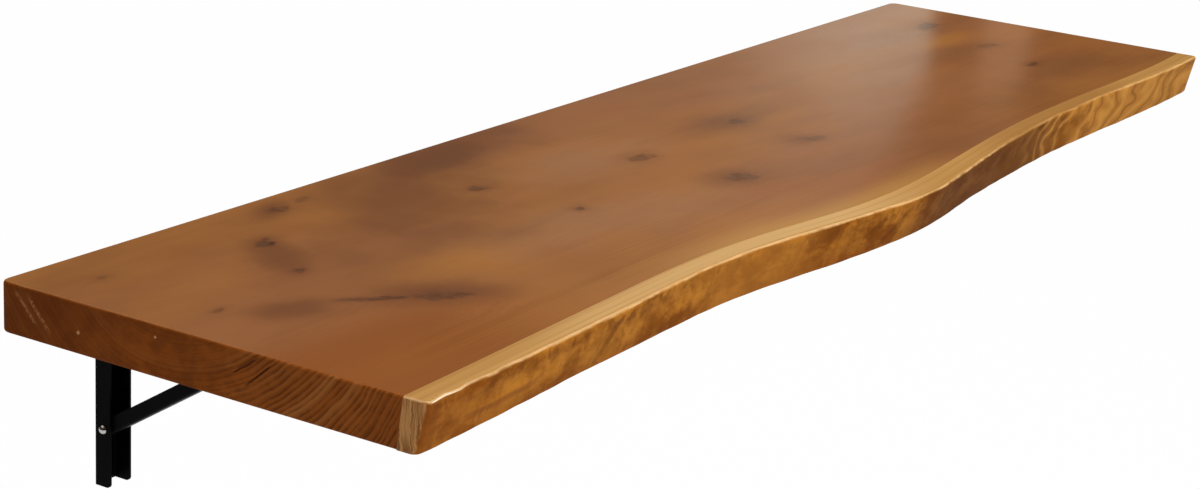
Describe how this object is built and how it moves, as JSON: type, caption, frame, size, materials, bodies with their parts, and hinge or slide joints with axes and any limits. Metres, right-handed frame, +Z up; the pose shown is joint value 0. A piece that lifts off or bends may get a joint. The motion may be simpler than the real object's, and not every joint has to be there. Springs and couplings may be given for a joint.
{
  "type": "wall mounted drop leaf table",
  "caption": "Thick stained plank with a pale live front edge on folding black steel wall brackets; catches under the plank let it drop flat against the wall.",
  "frame": {"origin": "on the wall plane, midway between the four outer wall holes of the two brackets", "axes": "+X along the wall to the right as seen from the room, +Y into the wall, +Z up"},
  "size_m": [1.4, 0.4088, 0.1935],
  "materials": {
    "stained_pine": "satin lacquer over brown stain",
    "pale_pine": "satin lacquer",
    "black_steel": "black powder coat",
    "bright_steel": "bright plated",
    "spring_steel": "plain spring steel",
    "nylon": "moulded black nylon"
  },
  "bodies": {
    "wall_brackets": {"left_wall_arm": "black_steel", "left_hinge_pin": "bright_steel", "left_hinge_washers": "nylon", "left_brace_rivet": "bright_steel", "right_wall_arm": "black_steel", "right_hinge_pin": "bright_steel", "right_hinge_washers": "nylon", "right_brace_rivet": "bright_steel"},
    "leaf": {"heartwood_board": "stained_pine", "live_edge_strip": "pale_pine", "left_leaf_arm": "black_steel", "left_lever_pin": "bright_steel", "left_lever_spring": "spring_steel", "left_leaf_screws": "bright_steel", "right_leaf_arm": "black_steel", "right_lever_pin": "bright_steel", "right_lever_spring": "spring_steel", "right_leaf_screws": "bright_steel"},
    "left_strut": {"left_brace": "black_steel", "left_slide_pin": "bright_steel", "left_slide_spacers": "nylon"},
    "left_catch": {"left_release_lever": "black_steel"},
    "right_strut": {"right_brace": "black_steel", "right_slide_pin": "bright_steel", "right_slide_spacers": "nylon"},
    "right_catch": {"right_release_lever": "black_steel"}
  },
  "joints": [
    {"name": "leaf_fold", "type": "hinge", "parent": "wall_brackets", "child": "leaf", "pos_m": [0, -0.018, 0.068], "axis": [1, 0, 0], "range_deg": [0, 90]},
    {"name": "left_brace_swing", "type": "hinge", "parent": "wall_brackets", "child": "left_strut", "pos_m": [-0.586, -0.009, -0.016], "axis": [1, 0, 0], "range_deg": [0, 117]},
    {"name": "left_catch_pull", "type": "hinge", "parent": "leaf", "child": "left_catch", "pos_m": [-0.586, -0.231, 0.084], "axis": [1, 0, 0], "range_deg": [0, 1.7], "stiffness_Nm_per_rad": 2, "springref_deg": -3.44, "deforming": ["left_lever_spring"]},
    {"name": "right_brace_swing", "type": "hinge", "parent": "wall_brackets", "child": "right_strut", "pos_m": [0.586, -0.009, -0.016], "axis": [1, 0, 0], "range_deg": [0, 117]},
    {"name": "right_catch_pull", "type": "hinge", "parent": "leaf", "child": "right_catch", "pos_m": [0.586, -0.231, 0.084], "axis": [1, 0, 0], "range_deg": [0, 1.7], "stiffness_Nm_per_rad": 2, "springref_deg": -3.44, "deforming": ["right_lever_spring"]}
  ],
  "couplings": [
    {"joint": "left_brace_swing", "follows": "leaf_fold", "ratio": 1.298},
    {"joint": "right_brace_swing", "follows": "leaf_fold", "ratio": 1.298}
  ]
}
